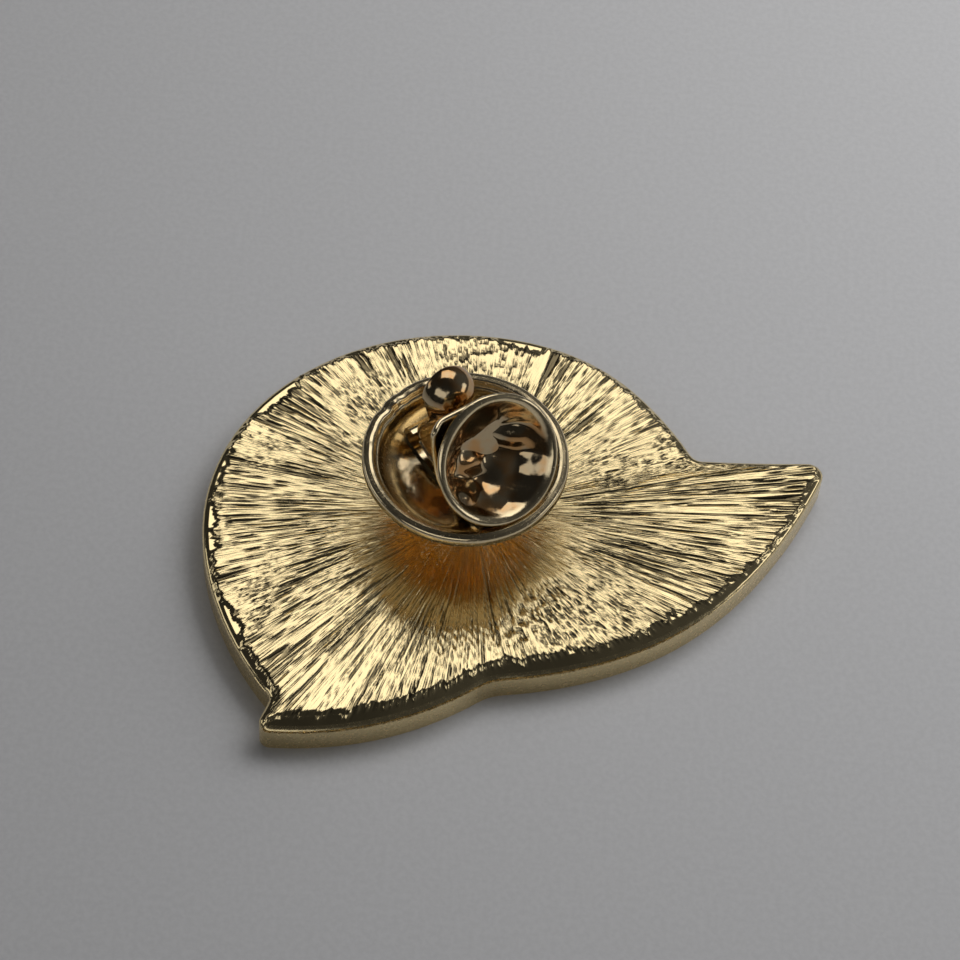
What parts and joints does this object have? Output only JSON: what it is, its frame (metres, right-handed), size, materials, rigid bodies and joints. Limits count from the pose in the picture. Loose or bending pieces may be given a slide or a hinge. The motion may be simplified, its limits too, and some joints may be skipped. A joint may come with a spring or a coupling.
{
  "type": "enamel pin",
  "caption": "Cap-shaped metal enamel pin with a textured plated back, a grooved post and a butterfly clutch that slides, spins and pinches open.",
  "frame": {"origin": "where the post's axis meets the plane of the enamelled face, with the pin lying face down", "axes": "+Z along the post from the face to its tip; +X along the cap's length, towards the visor's tip"},
  "size_m": [0.0348, 0.0278, 0.013],
  "materials": {
    "gold_plating": "polished pale gold plating",
    "clutch_metal": "polished pale gold plating",
    "enamel_navy": "gloss hard enamel",
    "enamel_red": "gloss hard enamel",
    "enamel_white": "gloss hard enamel"
  },
  "bodies": {
    "pin": {"plate": "gold_plating", "post": "gold_plating", "solder": "gold_plating", "enamel_front_panel": "enamel_navy", "enamel_side_panel": "enamel_navy", "enamel_rear_panel": "enamel_navy", "enamel_band": "enamel_white", "enamel_strap": "enamel_red", "enamel_visor": "enamel_red", "enamel_visor_trim": "enamel_white", "enamel_button": "enamel_red"},
    "clutch": {"clutch_cup": "clutch_metal"},
    "clip": {"clip_base": "clutch_metal"},
    "near_wing": {"near_wing": "clutch_metal"},
    "far_wing": {"far_wing": "clutch_metal"}
  },
  "joints": [
    {"name": "clutch_slide", "type": "slide", "parent": "pin", "child": "clutch", "axis": [0, 0, 1], "range_m": [-0.0027, 0.01]},
    {"name": "clip_spin", "type": "hinge", "parent": "clutch", "child": "clip", "pos_m": [0, 0, 0.00535], "axis": [0, 0, 1], "continuous": true},
    {"name": "near_squeeze", "type": "hinge", "parent": "clip", "child": "near_wing", "pos_m": [0.00154, -0.00197, 0.00665], "axis": [-0.788, -0.6157, 0], "range_deg": [0, 4], "stiffness_Nm_per_rad": 0.02},
    {"name": "far_squeeze", "type": "hinge", "parent": "clip", "child": "far_wing", "pos_m": [-0.00154, 0.00197, 0.00665], "axis": [0.788, 0.6157, 0], "range_deg": [0, 4], "stiffness_Nm_per_rad": 0.02}
  ],
  "couplings": [
    {"joint": "far_squeeze", "follows": "near_squeeze", "ratio": 1}
  ]
}
